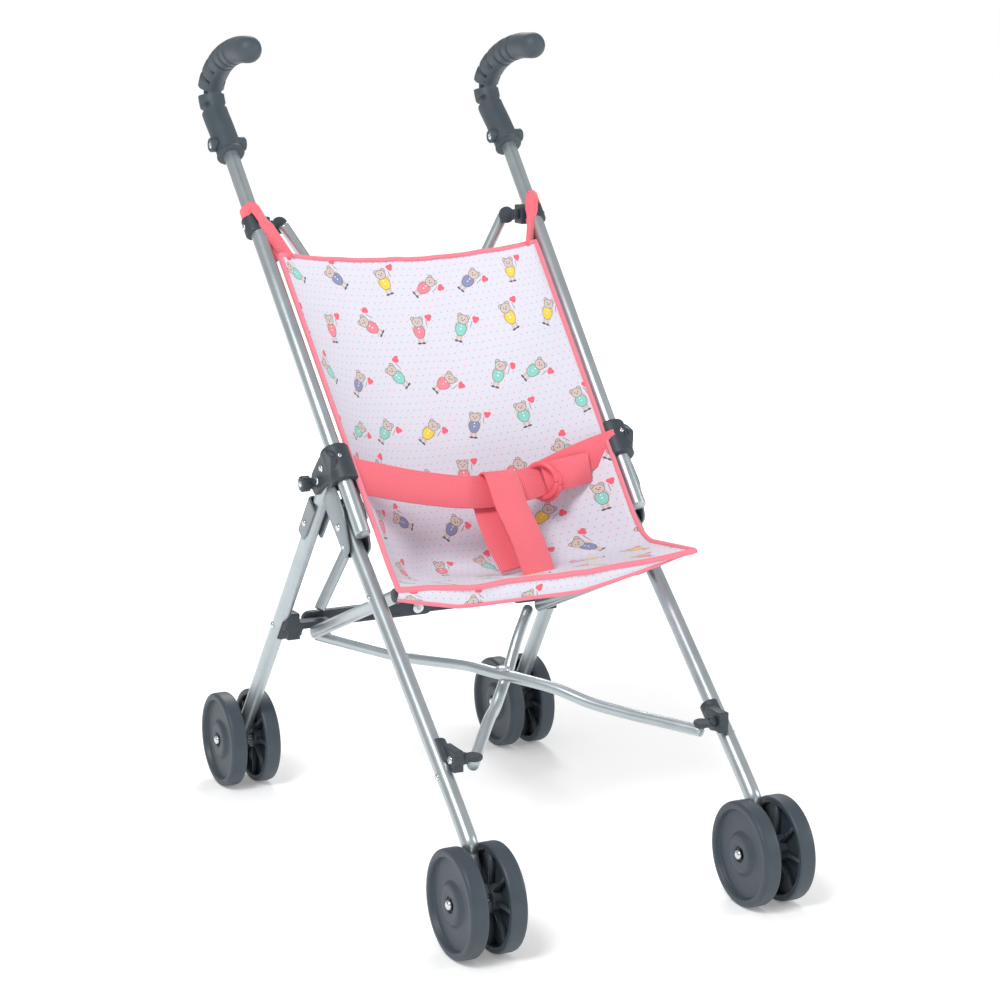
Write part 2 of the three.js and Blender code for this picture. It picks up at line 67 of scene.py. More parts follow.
# backwards and up from where the grip starts on the tube
GRIP_ROUTE = [(0, 0), (18, 16.5), (34, 31), (39.5, 45.5), (28, 59), (7, 69.5), (-18, 75), (-39, 76)]
GRIP_WINDOWS = (47, 61, 75, 89)  # pockets on the back and front, along the grip
GRIP_GROOVES = (103, 114, 125)  # grooves all round it
LEG_BEND = (1.2, 18.4, 40)  # inwards, backwards and up from the front axle
EAR_GAP = 0.3
EAR = 4.0
PRESSED = 1.5  # thickness of the pressed channels
BINDING_R = 2.0
CLOTH = 0.8
WEBBING = 1.3
DROP = 13.0  # of the valance, below the seat's front edge
# half lengths of a grip's pockets and grooves, and their depths as shares of its radius
WINDOW_HALF, WINDOW_DEEP = 3, 0.44
GROOVE_HALF, GROOVE_DEEP = 2, 0.4
WINDOW_ROUND = 146  # degrees each way from the back that a pocket reaches
KNUCKLE_R, KNUCKLE_HALF = 10, 13.5
COLLAR_WALL = 1.2
COLLAR_INWARD = 2.6  # the leg collars sit this far in from the leg's middle
CLAMP_WALL = 1.6
RAIL_R, CAP_R, CAP_LENGTH = 4.5, 5.2, 9.3
LUG_CLEAR = 9.3  # from a swivel's middle to the lug that carries it
ARM_AHEAD = 5.67  # from the rear leg's middle forwards to its bracket's arm
SEAT_TOP_Z, SEAT_HEM_Z, LOOP_Z = 403, 214, 429
DOTS_APART, MOTIF_APART = 5, 36


def mm(x, y, z):
    return Vector((x, y, z)) * MM


# ---- where things are, from the frame ----
PIVOT = {j["child"]: Vector(j["pos_m"]) for j in frame["joints"] if "pos_m" in j}
TURNS_ON = {j["child"]: Vector(j["axis"]) for j in frame["joints"]}


def middle(node):
    low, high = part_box(node)
    return (low + high) / 2


def corners_of(node):
    return np.array([v.co for v in frame["nodes"][node].data.vertices], float)


def end_of(node, towards):
    """The middle of a tube's end ring, on the side that towards points to."""
    points = corners_of(node)
    reach = points @ np.array(towards.normalized())
    return Vector(points[reach > reach.max() - TUBE_R * 0.9 * MM].mean(0))


def straight_ends(node):
    """The middles of a straight tube's two ends, the lower one first."""
    points = corners_of(node)
    centre = points.mean(0)
    along = np.linalg.svd(points - centre, full_matrices=False)[2][0]
    run = (points - centre) @ along
    ends = [points[run < run.min() + MM].mean(0), points[run > run.max() - MM].mean(0)]
    return sorted((Vector(e) for e in ends), key=lambda e: e.z)


# ---- meshes ----
def piece_of(name, mesh):
    piece = bpy.data.objects.new(name, mesh)
    bpy.context.scene.collection.objects.link(piece)
    return piece


def skin(name, rings, across, along, closed=True, caps=True):
    """A surface through rings of points. across and along are its flat measures in metres, for the UVs."""
    count = len(rings[0])
    columns = count if closed else count - 1
    faces, flat = [], []
    for i in range(len(rings) - 1):
        for j in range(columns):
            k = (j + 1) % count
            faces.append((i * count + j, i * count + k, (i + 1) * count + k, (i + 1) * count + j))
            flat += [(across[j], along[i]), (across[j + 1], along[i]),
                     (across[j + 1], along[i + 1]), (across[j], along[i + 1])]
    if closed and caps:
        for first in (0, (len(rings) - 1) * count):
            faces.append(tuple(range(first, first + count)))
            flat += [(across[j], along[0 if first == 0 else -1]) for j in range(count)]
    mesh = bpy.data.meshes.new(name)
    mesh.from_pydata([tuple(p) for ring in rings for p in ring], [], faces)
    mesh.uv_layers.new(name="UVMap").data.foreach_set("uv", np.array(flat, np.float32).ravel())
    mesh.shade_smooth()
    form = bmesh.new()
    form.from_mesh(mesh)
    bmesh.ops.remove_doubles(form, verts=form.verts, dist=1e-7)
    bmesh.ops.recalc_face_normals(form, faces=form.faces)
    form.to_mesh(mesh)
    form.free()
    return piece_of(name, mesh)


def frames_along(path, side=None):
    """The way ahead, to the side and up at each point of a path, without twist."""
    last = len(path) - 1
    ahead = [(path[min(i + 1, last)] - path[max(i - 1, 0)]).normalized() for i in range(last + 1)]
    side = side or (ACROSS if abs(ahead[0].x) < 0.9 else BACK)
    found = []
    for way in ahead:
        side = (side - way * side.dot(way)).normalized()
        found.append((way, side, way.cross(side)))
    return found


def lengths_along(path):
    run = [0.0]
    for a, b in zip(path, path[1:]):
        run.append(run[-1] + (b - a).length)
    return run


def smooth_path(points, count):
    """A curve through the points, at equal steps."""
    ends = [2 * points[0] - points[1], *points, 2 * points[-1] - points[-2]]
    fine = []
    for a, b, c, d in zip(ends, ends[1:], ends[2:], ends[3:]):
        for k in range(24):
            t = k / 24
            fine.append(0.5 * (2 * b + (c - a) * t + (2 * a - 5 * b + 4 * c - d) * t * t
                               + (3 * b - a - 3 * c + d) * t ** 3))
    fine.append(points[-1])
    run = np.array(lengths_along(fine))
    steps = np.linspace(0, run[-1], count)
    return [Vector([np.interp(s, run, [p[k] for p in fine]) for k in range(3)]) for s in steps]


def tube(name, path, radius, sides=32, edge=0.8 * MM, shape=None, side=None):
    """A round bar along a path, with softened ends. shape(run, angle) scales its radius."""
    way = (path[1] - path[0]).normalized(), (path[-1] - path[-2]).normalized()
    path = [path[0], path[0] + way[0] * edge * 0.3, path[0] + way[0] * edge, *path[1:-1],
            path[-1] - way[1] * edge, path[-1] - way[1] * edge * 0.3, path[-1]]
    inset = [edge, edge * 0.3, 0, *[0] * (len(path) - 6), 0, edge * 0.3, edge]
    run = lengths_along(path)
    rings = []
    for point, (_, out, up), length, less in zip(path, frames_along(path, side), run, inset):
        ring = []
        for j in range(sides):
            angle = 2 * math.pi * j / sides
            reach = (radius - less) * (shape(length, angle) if shape else 1)
            ring.append(point + (out * math.cos(angle) + up * math.sin(angle)) * reach)
        rings.append(ring)
    across = [2 * math.pi * radius * j / sides for j in range(sides + 1)]
    return skin(name, rings, across, run)


def rod(start, end, radius, sides=32):
    return tube("rod", [start, end], radius, sides)


def softened(profile, radius, steps=3):
    """Rounds the corners of an outline, given as points in a plane."""
    points = [Vector(p) for p in profile]
    out = [points[0]]
    for a, b, c in zip(points, points[1:], points[2:]):
        room = min(radius, (a - b).length * 0.45, (c - b).length * 0.45)
        start, end = b + (a - b).normalized() * room, b + (c - b).normalized() * room
        for k in range(steps + 1):
            t = k / steps
            out.append(start * (1 - t) ** 2 + b * 2 * t * (1 - t) + end * t * t)
    return [*out, points[-1]]


def turned(name, profile, centre, axis, sides=72):
    """A shape turned round an axis. profile is radius and height in millimetres."""
    axis = axis.normalized()
    out = (BACK - axis * BACK.dot(axis)).normalized() if abs(axis.y) < 0.9 else ACROSS
    up = axis.cross(out)
    rings = []
    for radius, height in profile:
        ring = []
        for j in range(sides):
            angle = 2 * math.pi * j / sides
            spoke = out * math.cos(angle) + up * math.sin(angle)
            ring.append(centre + axis * height * MM + spoke * radius * MM)
        rings.append(ring)
    wide = max(p[0] for p in profile) * MM
    across = [2 * math.pi * wide * j / sides for j in range(sides + 1)]
    along = lengths_along([Vector((p[0], p[1], 0)) * MM for p in profile])
    return skin(name, rings, across, along, caps=False)


def slab(outline, centre, x0, x1):
    """A plate across the stroller, from its outline backwards and up in millimetres."""
    points = softened([*outline, outline[0], outline[1]], 2.5)[1:-1]
    rings = [[centre + mm(0, p[0], p[1]) + ACROSS * (x - centre.x) for p in points] for x in (x0, x1)]
    run = lengths_along([*rings[0], rings[0][0]])
    return skin("slab", rings, run, [0, abs(x1 - x0)])


def brick(low, high):
    low, high = Vector(map(min, low, high)), Vector(map(max, low, high))
    ring = [(low.x, low.y), (high.x, low.y), (high.x, high.y), (low.x, high.y)]
    rings = [[Vector((x, y, z)) for x, y in ring] for z in (low.z, high.z)]
    return skin("brick", rings, lengths_along([*rings[0], rings[0][0]]), [0, high.z - low.z])


def joined(name, parts):
    form = bmesh.new()
    for part in parts:
        form.from_mesh(part.data)
        bpy.data.objects.remove(part)
    mesh = bpy.data.meshes.new(name)
    form.to_mesh(mesh)
    form.free()
    mesh.shade_smooth()
    return piece_of(name, mesh)


def applied(piece):
    graph = bpy.context.evaluated_depsgraph_get()
    shape = bpy.data.meshes.new_from_object(piece.evaluated_get(graph))
    piece.modifiers.clear()
    piece.data = shape
    shape.shade_smooth()
    return piece


def moulded(name, parts, voxel=0.6, rounds=4):
    """Overlapping solids made into one moulding with soft edges."""
    piece = joined(name, parts)
    remesh = piece.modifiers.new("one_body", "REMESH")
    remesh.mode, remesh.voxel_size = "VOXEL", voxel * MM
    soften = piece.modifiers.new("soft_edges", "SMOOTH")
    soften.factor, soften.iterations = 0.5, rounds
    return applied(piece)


def ribbon(name, path, wide, width, thick):
    """A flat strap along a path. wide is the way its width runs at each point."""
    ways = frames_along(path)
    rings = []
    for point, (ahead, _, _), across in zip(path, ways, wide):
        across = (across - ahead * across.dot(ahead)).normalized()
        face = ahead.cross(across)
        half, edge = width / 2, thick / 2
        outline = [(-half, 0), (-half + edge, -edge), (0, -edge), (half - edge, -edge), (half, 0),
                   (half - edge, edge), (0, edge), (-half + edge, edge)]
        rings.append([point + across * a + face * b for a, b in outline])
    flat = [0, edge, half, width - edge, width, width - edge, half, edge, 0]
    return skin(name, rings, flat, lengths_along(path))


# ---- materials ----
def linear(colour):
    """An sRGB hex colour as linear red, green, blue and alpha."""
    parts = [int(colour[i:i + 2], 16) / 255 for i in (1, 3, 5)]
    return (*[p / 12.92 if p <= 0.04045 else ((p + 0.055) / 1.055) ** 2.4 for p in parts], 1)


def add(tree, kind, inputs=None, out=0, **settings):
    """Adds a node with its settings and links, and gives the output asked for."""
    made = tree.nodes.new(kind)
    for name, value in settings.items():
        setattr(made, name, value)
    for socket, value in (inputs or {}).items():
        if isinstance(value, bpy.types.NodeSocket):
            tree.links.new(value, made.inputs[socket])
        else:
            made.inputs[socket].default_value = value
    return made.outputs[out]


def start(name, **values):
    material = bpy.data.materials.new(name)
    material.use_nodes = True
    shader = material.node_tree.nodes["Principled BSDF"]
    for socket, value in values.items():
        shader.inputs[socket.replace("_", " ")].default_value = value
    return material, material.node_tree, shader


def grained(name, dark, light, rough, metallic, grain, depth, rough_spread=0.06, stretch=(1, 1, 1)):
    """A finish with cloudy colour, uneven roughness and a fine grain. grain and depth are in millimetres."""
    material, tree, shader = start(name, Metallic=metallic)
    place = add(tree, "ShaderNodeTexCoord", out="Object")
    place = add(tree, "ShaderNodeVectorMath", {0: place, 1: stretch}, operation="MULTIPLY")
    cloud = add(tree, "ShaderNodeTexNoise", {"Vector": place, "Scale": 60.0, "Detail": 4.0}, out="Fac")
    fine = add(tree, "ShaderNodeTexNoise", {"Vector": place, "Scale": 1 / (grain * MM), "Detail": 2.0},
               out="Fac")
    colour = add(tree, "ShaderNodeMix", {0: cloud, 6: linear(dark), 7: linear(light)},
                 out=2, data_type="RGBA")
    tree.links.new(colour, shader.inputs["Base Color"])
    uneven = add(tree, "ShaderNodeMapRange", {"Value": cloud, "To Min": rough - rough_spread,
                                              "To Max": rough + rough_spread})
    tree.links.new(uneven, shader.inputs["Roughness"])
    bump = add(tree, "ShaderNodeBump", {"Height": fine, "Strength": 0.35, "Distance": depth * MM})
    tree.links.new(bump, shader.inputs["Normal"])
    return material


# Satin silver lacquer on drawn steel tube: soft long reflections, with faint streaks along it.
silver_lacquer = grained("satin_silver_lacquer_on_steel", "#adb6ba", "#c2cbce", 0.33, 0.8, 0.6, 0.002)
# Zinc-plated pressed sheet: a duller grey than the tubes, with cloudy plating.
pressed_zinc = grained("zinc_plated_pressed_sheet", "#7f888d", "#9aa3a8", 0.4, 0.9, 0.5, 0.02, 0.09)
# Bright plated rivets and screws: small hard highlights.
bright_zinc = grained("bright_zinc_rivet", "#cfd3d6", "#e2e5e7", 0.2, 1.0, 0.3, 0.005)
# Moulded polypropylene of the brackets: dark slate with a fine spark-eroded grain.
bracket_pp = grained("moulded_polypropylene_slate", "#2f383f", "#3a444c", 0.46, 0.0, 0.35, 0.05)
# Soft-touch moulded grips, a little lighter and more matt than the brackets.
grip_tpe = grained("moulded_grip_slate", "#3b464e", "#48535b", 0.55, 0.0, 0.4, 0.06)
# Injection-moulded wheels: even slate with a low sheen.
wheel_pe = grained("moulded_polyethylene_wheel", "#36414a", "#414c55", 0.48, 0.0, 0.5, 0.04)
# Coral acetal of the strap rings: glossy and slightly deeper than the webbing.
coral_acetal = grained("coral_acetal_ring", "#ef5b6c", "#f46b7a", 0.3, 0.0, 0.5, 0.01)


def threads(tree, place, spacing, slope):
    """Height of a set of threads that lie side by side. spacing in millimetres, slope turns them."""
    split = add(tree, "ShaderNodeVectorMath", {0: place, 1: slope}, out="Value", operation="DOT_PRODUCT")
    phase = add(tree, "ShaderNodeMath", {0: split, 1: 2 * math.pi / (spacing * MM)}, operation="MULTIPLY")
    return add(tree, "ShaderNodeMath", {0: phase}, operation="SINE")


def woven_coral(name, colour, valley_shade_colour, spacing):
    """Polyester webbing in a herringbone weave: matt coral with rows of small chevrons. The chevrons are
    painted shade: a deeper coral in the hollows between the threads, lighter on their crowns.
    """
    material, tree, shader = start(name, Roughness=0.82, Sheen_Weight=0.25, Sheen_Roughness=0.5)
    place = add(tree, "ShaderNodeUVMap", uv_map="UVMap")
    parts = add(tree, "ShaderNodeSeparateXYZ", {0: place})
    across = add(tree, "ShaderNodeMath", {0: parts, 1: 3 * MM}, operation="PINGPONG")
    folded = add(tree, "ShaderNodeCombineXYZ", {0: across, 1: parts.node.outputs[1]})
    height = threads(tree, folded, spacing, (0.7, 0.7, 0))
    cross = threads(tree, place, spacing * 0.6, (1, 0, 0))
    weave = add(tree, "ShaderNodeMath", {0: height, 1: cross, 2: 0.4}, operation="MULTIPLY_ADD")
    # painted shade: the colour darkens to the deeper coral where the threads lie low, and lightens on their
    # crowns
    thread_shade = add(tree, "ShaderNodeMapRange", {"Value": height, "From Min": -1.0, "From Max": 1.0})
    colour = add(tree, "ShaderNodeMix", {0: thread_shade, 6: linear(valley_shade_colour), 7: linear(colour)},
                 out=2, data_type="RGBA")
    tree.links.new(colour, shader.inputs["Base Color"])
    bump = add(tree, "ShaderNodeBump", {"Height": weave, "Strength": 0.5, "Distance": 0.15 * MM})
    tree.links.new(bump, shader.inputs["Normal"])
    return material


# Coral webbing straps; the ribs are drawn 1.3 mm apart so that they show. Their deeper coral is painted shade
# between the threads.
coral_webbing = woven_coral("coral_polyester_webbing", "#fb7e8a", "#f0606f", 1.3)
# Folded cotton tape round the seat's edges, paler than the straps. Its deeper coral is painted shade between
# the threads.
coral_binding = woven_coral("coral_cotton_binding", "#fb8fa0", "#f17d90", 0.9)


def printed_polyester(name):
    """Plain-woven white polyester with a small dotted ground and scattered teddy motifs."""
    material, tree, shader = start(name, Roughness=0.85, Sheen_Weight=0.2, Sheen_Roughness=0.5)
    place = add(tree, "ShaderNodeUVMap", uv_map="UVMap")

    def cells(size, seed):
        """Cuts the cloth into square cells: the place in the cell and three random shares."""
        scaled = add(tree, "ShaderNodeVectorMath", {0: place, 1: (1 / size,) * 3}, operation="MULTIPLY")
        parts = add(tree, "ShaderNodeSeparateXYZ", {0: scaled})
        row = add(tree, "ShaderNodeMath", {0: parts.node.outputs[1]}, operation="FLOOR")
        odd = add(tree, "ShaderNodeMath", {0: row, 1: 2.0}, operation="FLOORED_MODULO")
        shifted = add(tree, "ShaderNodeMath", {0: odd, 1: 0.5, 2: parts}, operation="MULTIPLY_ADD")
        brick_place = add(tree, "ShaderNodeCombineXYZ", {0: shifted, 1: parts.node.outputs[1], 2: seed})
        cell = add(tree, "ShaderNodeVectorMath", {0: brick_place}, operation="FLOOR")
        chance = add(tree, "ShaderNodeTexWhiteNoise", {"Vector": cell}, out="Color", noise_dimensions="3D")
        inside = add(tree, "ShaderNodeVectorMath", {0: brick_place}, operation="FRACTION")
        centred = add(tree, "ShaderNodeVectorMath", {0: inside, 1: (0.5, 0.5, 0)}, operation="SUBTRACT")
        return centred, add(tree, "ShaderNodeSeparateXYZ", {0: chance}).node

    def ellipse(where, x, y, wide, tall):
        """1 inside an ellipse, in the motif's own millimetres."""
        off = add(tree, "ShaderNodeVectorMath", {0: where, 1: (x, y, 0)}, operation="SUBTRACT")
        flat = add(tree, "ShaderNodeVectorMath", {0: off, 1: (1 / wide, 1 / tall, 0)}, operation="MULTIPLY")
        far = add(tree, "ShaderNodeVectorMath", {0: flat}, out="Value", operation="LENGTH")
        return add(tree, "ShaderNodeMath", {0: far, 1: 1.0}, operation="LESS_THAN")

    # the ground: small dots, pink or grey by chance
    dot_place, dot_chance = cells(DOTS_APART * MM, 0.5)
    dot_tint = add(tree, "ShaderNodeMath", {0: dot_chance.outputs[0], 1: 0.45}, operation="GREATER_THAN")
    dot_colour = add(tree, "ShaderNodeMix", {0: dot_tint, 6: linear("#b9b9cc"), 7: linear("#f3a0b2")},
                     out=2, data_type="RGBA")
    dot = ellipse(dot_place, 0, 0, 0.1, 0.1)
    print_colour = add(tree, "ShaderNodeMix", {0: dot, 6: linear("#dfdfeb"), 7: dot_colour},
                       out=2, data_type="RGBA")

    # the motifs: one in each cell, turned and placed by chance
    motif_place, chance = cells(MOTIF_APART * MM, 7.5)
    in_mm = add(tree, "ShaderNodeVectorMath", {0: motif_place, 1: (29, -29, 0)}, operation="MULTIPLY")
    turn = add(tree, "ShaderNodeMapRange", {"Value": chance.outputs[1], "To Min": -1.3, "To Max": 1.3})
    stray = add(tree, "ShaderNodeCombineXYZ", {0: chance.outputs[2], 1: chance.outputs[1]})
    stray = add(tree, "ShaderNodeVectorMath", {0: stray, 1: (8, 8, 0)}, operation="MULTIPLY")
    in_mm = add(tree, "ShaderNodeVectorMath", {0: in_mm, 1: stray}, operation="ADD")
    in_mm = add(tree, "ShaderNodeVectorMath", {0: in_mm, 1: (4, 4, 0)}, operation="SUBTRACT")
    where = add(tree, "ShaderNodeVectorRotate", {"Vector": in_mm, "Angle": turn}, rotation_type="Z_AXIS")
    pick = chance.outputs[0]
    outfit = linear("#8fd6cb")
    for share, colour in ((0.28, "#f58a9a"), (0.52, "#f4d553"), (0.74, "#8c93b8")):
        above = add(tree, "ShaderNodeMath", {0: pick, 1: share}, operation="GREATER_THAN")
        outfit = add(tree, "ShaderNodeMix", {0: above, 6: outfit, 7: linear(colour)},
                     out=2, data_type="RGBA")
    fur, ink = linear("#d5c4bd"), linear("#5d5a68")
    shapes = [  # x, y, half width, half height, colour, in millimetres
        (-2.3, 6.6, 1.25, 1.25, fur), (2.3, 6.6, 1.25, 1.25, fur),
        (-1.2, -5.9, 0.9, 2.2, fur), (1.2, -5.9, 0.9, 2.2, fur),
        (-3.3, 0.2, 0.8, 2.2, fur), (3.3, 0.6, 0.8, 2.2, fur),
        (0, -1.0, 3.2, 4.0, outfit), (0, 4.6, 3.1, 2.7, fur),
        (-1.3, -8.1, 1.3, 0.6, ink), (1.3, -8.1, 1.3, 0.6, ink),
        (-1.05, 5.1, 0.32, 0.36, ink), (1.05, 5.1, 0.32, 0.36, ink), (0, 4.1, 0.5, 0.35, ink),
        (0, -1.2, 0.4, 0.4, linear("#ffffff")), (0, 0.8, 0.4, 0.4, linear("#ffffff")),
        (6.4, 7.4, 1.3, 1.3, linear("#f4697c")), (8.2, 7.4, 1.3, 1.3, linear("#f4697c")),
        (7.3, 6.4, 1.5, 1.7, linear("#f4697c")), (5.4, 3.4, 0.16, 2.6, ink),
    ]
    layers = []
    for x, y, wide, tall, colour in shapes:
        if wide > 1.2 and tall > 1.2 and x < 5:  # a drawn line round the larger shapes
            layers.append((x, y, wide + 0.28, tall + 0.28, ink))
        layers.append((x, y, wide, tall, colour))
    for x, y, wide, tall, colour in layers:
        inside = ellipse(where, x, y, wide, tall)
        print_colour = add(tree, "ShaderNodeMix", {0: inside, 6: print_colour, 7: colour},
                           out=2, data_type="RGBA")
    tree.links.new(print_colour, shader.inputs["Base Color"])

    # plain weave, drawn 0.9 mm apart so that it shows, with slight creases
    warp, weft = threads(tree, place, 0.9, (1, 0, 0)), threads(tree, place, 0.9, (0, 1, 0))
    weave = add(tree, "ShaderNodeMath", {0: warp, 1: weft}, operation="MULTIPLY")
    crease = add(tree, "ShaderNodeTexNoise", {"Vector": place, "Scale": 45.0, "Detail": 3.0}, out="Fac")
    height = add(tree, "ShaderNodeMath", {0: crease, 1: 14.0, 2: weave}, operation="MULTIPLY_ADD")
    bump = add(tree, "ShaderNodeBump", {"Height": height, "Strength": 0.4, "Distance": 0.09 * MM})
    tree.links.new(bump, shader.inputs["Normal"])
    return material


teddy_print = printed_polyester("printed_polyester_teddy_dots")

FINISH = {
    "painted_tube": silver_lacquer, "pressed_steel": pressed_zinc, "zinc_rivets": bright_zinc,
    "bracket_plastic": bracket_pp, "grip_plastic": grip_tpe, "wheel_plastic": wheel_pe,
    "printed_fabric": teddy_print, "webbing": coral_webbing, "coral_plastic": coral_acetal,
}


def fitted(piece, body, slot, *nodes, finish=None):
    """Gives a piece its finish, the body it moves with and the CAD nodes it stands for."""
    piece.data.materials.clear()
    piece.data.materials.append(finish or FINISH[slot])
    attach(piece, body)
    if nodes:
        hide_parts(*nodes)
    return piece


def rivet(name, centre, out, radius, height, body):
    """A domed rivet head with a small dimple."""
    profile = [(0, height * 0.82), (radius * 0.2, height * 0.84), (radius * 0.3, height),
               (radius * 0.6, height * 0.86), (radius * 0.88, height * 0.5),
               (radius, height * 0.1), (radius, -0.6), (0, -0.6)]
    return fitted(turned(name, profile, centre, out, 36), body, "zinc_rivets")


# ---- tubes, collars and brackets of each side ----
corners = {}
for label, side in SIDES.items():
    body, leg_body = f"{label}_side", f"rear_leg_{label}"
    out = ACROSS * side

    # handle tube
    low, high = straight_ends(f"handle_tube_{label}")
    up_tube = (high - low).normalized()
    behind = ACROSS.cross(up_tube) * -1  # across the tube, backwards and down
    knuckle = low + up_tube * HANDLE_BELOW_KNUCKLE * MM
    fitted(tube(f"handle_tube_{label}_made", [low, high], TUBE_R * MM, 48), body, "painted_tube",
           f"handle_tube_{label}")

    # grip: a sleeve that hooks forward, with pockets front and back and grooves near the ball
    grip_start = high - up_tube * GRIP_ON_TUBE * MM
    route = smooth_path([grip_start + mm(0, y, z) for y, z in GRIP_ROUTE], 300)

    def ribbed(run, angle):
        # the pockets leave a solid spine along the sleeve's front
        run = run / MM
        scale = 1.0 + 0.09 * max(0, 1 - run / 3.5) ** 0.5
        from_back = abs((math.degrees(angle) - 90 + 180) % 360 - 180)
        for at in GRIP_WINDOWS:
            if abs(run - at) < WINDOW_HALF and from_back < WINDOW_ROUND:
                edge = min(1, (WINDOW_HALF - abs(run - at)) / 0.7)
                scale -= WINDOW_DEEP * edge * min(1, (WINDOW_ROUND - from_back) / 8)
        for at in GRIP_GROOVES:
            if abs(run - at) < GROOVE_HALF:
                scale -= GROOVE_DEEP * min(1, (GROOVE_HALF - abs(run - at)) / 0.6)
        return scale

    sleeve = tube("sleeve", route, GRIP_R * MM, 64, shape=ribbed, side=ACROSS)
    ball_way = (route[-1] - route[-2]).normalized()
    ball = turned("ball", [(0, -7)] + [(GRIP_R * math.cos(a), GRIP_R * math.sin(a))
                                      for a in np.linspace(-0.7, math.pi / 2, 24)], route[-1], ball_way, 64)
    boss_at = grip_start + up_tube * 10 * MM
    bosses = [turned("boss", [(0, 6), (5, 6), (5.2, 12.6), (4.6, 13.4), (3.3, 13.4), (3.1, 12.4), (0, 12.4)],
                     boss_at, ACROSS * way, 40) for way in (-1, 1)]
    fitted(joined(f"grip_{label}_made", [sleeve, ball, *bosses]), body, "grip_plastic", f"grip_{label}")
    for way, place in ((-1, "inner" if side > 0 else "outer"), (1, "outer" if side > 0 else "inner")):
        rivet(f"grip_screw_{label}_{place}", boss_at + ACROSS * way * 12.4 * MM, ACROSS * way, 3.0, 1.2, body)

    # knuckle collar: a clip round the tube, with an ear out to the rear leg's pivot
    pivot = PIVOT[leg_body]
    ear_in = pivot.x + side * (TUBE_R + EAR_GAP) * MM
    ear_out = ear_in + side * EAR * MM
    ring = rod(knuckle - up_tube * KNUCKLE_HALF * MM, knuckle + up_tube * KNUCKLE_HALF * MM,
               KNUCKLE_R * MM, 64)
    ear = slab([(-9, 9), (3, 12), (14, 4), (27, -9), (28, -19), (20, -23), (12, -17), (2, -12), (-8, -8)],
               knuckle, ear_in, ear_out)
    pad = slab([(-7, 6), (4, 8), (14, -1), (8, -11), (-5, -8)], knuckle, knuckle.x, ear_out)
    fitted(moulded(f"knuckle_collar_{label}_made", [ring, ear, pad]), body, "bracket_plastic",
           f"knuckle_collar_{label}")
    ear_face = Vector((ear_out, knuckle.y, knuckle.z))
    rivet(f"ear_rivet_upper_{label}", ear_face + mm(0, 9, -2), out, 2.6, 1.2, body)
    rivet(f"ear_rivet_lower_{label}", ear_face + mm(0, 17, -12), out, 2.6, 1.2, body)
    rivet(f"collar_rivet_{label}", knuckle + up_tube * 3 * MM - behind * KNUCKLE_R * MM + out * 2 * MM,
          -behind, 1.6, 0.8, body)

    # front leg, bent above its foot, with the pressed channel on its head
    axle = middle(f"front_axle_{label}")
    bend = axle + Vector((-side * LEG_BEND[0], LEG_BEND[1], LEG_BEND[2])) * MM
    head = end_of(f"front_leg_{label}", Vector((0, 1, 1)))
    foot = axle + (axle - bend).normalized() * (TUBE_R + 1) * MM
    up_leg = (head - bend).normalized()
    legs_path = smooth_path([foot, bend + (foot - bend) * 0.28, bend + up_leg * 14 * MM, head], 90)
    fitted(tube(f"front_leg_{label}_made", legs_path, TUBE_R * MM, 48), body, "painted_tube",
           f"front_leg_{label}")

    def on_leg(z):
        return head + up_leg * ((z * MM - head.z) / up_leg.z)

    rearwards = Vector((0, up_leg.z, -up_leg.y)).normalized()

    def channel(name, along, half, places, node, on_body):
        """A pressed channel round a tube's head. places are run, reach forwards and reach backwards."""
        lengths, rings = [], []
        for centre, ahead, back in places:
            outline = [(-half, -ahead), (-half, back - 2.5), (-half + 0.8, back - 0.8),
                       (-half + 2.5, back), (half - 2.5, back), (half - 0.8, back - 0.8),
                       (half, back - 2.5), (half, -ahead)]
            inner = [(half - PRESSED, -ahead), (half - PRESSED, back - 2.7),
                     (half - 2.7, back - PRESSED), (-half + 2.7, back - PRESSED),
                     (-half + PRESSED, back - 2.7), (-half + PRESSED, -ahead)]
            rings.append([centre + ACROSS * x * MM + along * y * MM for x, y in [*outline, *inner]])
            lengths.append(centre)
        flat = lengths_along([*rings[0], rings[0][0]])
        piece = skin(name, rings, flat, lengths_along(lengths))
        bevel = piece.modifiers.new("pressed_edges", "BEVEL")
        bevel.width, bevel.segments, bevel.limit_method = 0.4 * MM, 2, "ANGLE"
        return fitted(applied(piece), on_body, "pressed_steel", node)

    wall = TUBE_R + EAR_GAP + 1 + PRESSED
    stations = [(-37, 3, 5), (-35, 6, 7), (-28, 10, 7.5), (-14, 17, 7.5), (0, 18, 8), (9, 18, 8), (13, 15, 7)]
    channel(f"front_channel_{label}_made", rearwards, wall,
            [(head + up_leg * a * MM, ahead, back) for a, ahead, back in stations],
            f"front_channel_{label}", body)
    face = out * (wall + 0.1) * MM
    rivet(f"channel_rivet_{label}", head - up_leg * 16 * MM - rearwards * 2 * MM + face, out, 2.8, 1.2, body)
    rivet(f"channel_rivet_low_{label}", head - up_leg * 30 * MM + rearwards * 1 * MM + face,
          out, 1.8, 0.8, body)

    # rear leg, with the channel on its head and the bracket of the braces
    rear_foot, rear_head = straight_ends(f"rear_leg_{label}")
    up_rear = (rear_head - rear_foot).normalized()
    fitted(tube(f"rear_leg_{label}_made", [rear_foot, rear_head], TUBE_R * MM, 48), leg_body, "painted_tube",
           f"rear_leg_{label}")
    rear_back = Vector((0, up_rear.z, -up_rear.y)).normalized()
    wall = TUBE_R + EAR_GAP + PRESSED
    stations = [(-52, 4, 7), (-50.5, 6, 7.3), (-40, 6.5, 7.3), (-24, 7, 7.3), (-21.5, 7, 7.3), (-20, 5, 7)]
    channel(f"rear_channel_{label}_made", rear_back, wall,
            [(pivot + up_rear * a * MM, ahead, back) for a, ahead, back in stations],
            f"rear_channel_{label}", leg_body)
    rivet(f"rear_channel_rivet_{label}", pivot - up_rear * 40 * MM + out * (wall + 0.1) * MM,
          out, 2.4, 1.1, leg_body)

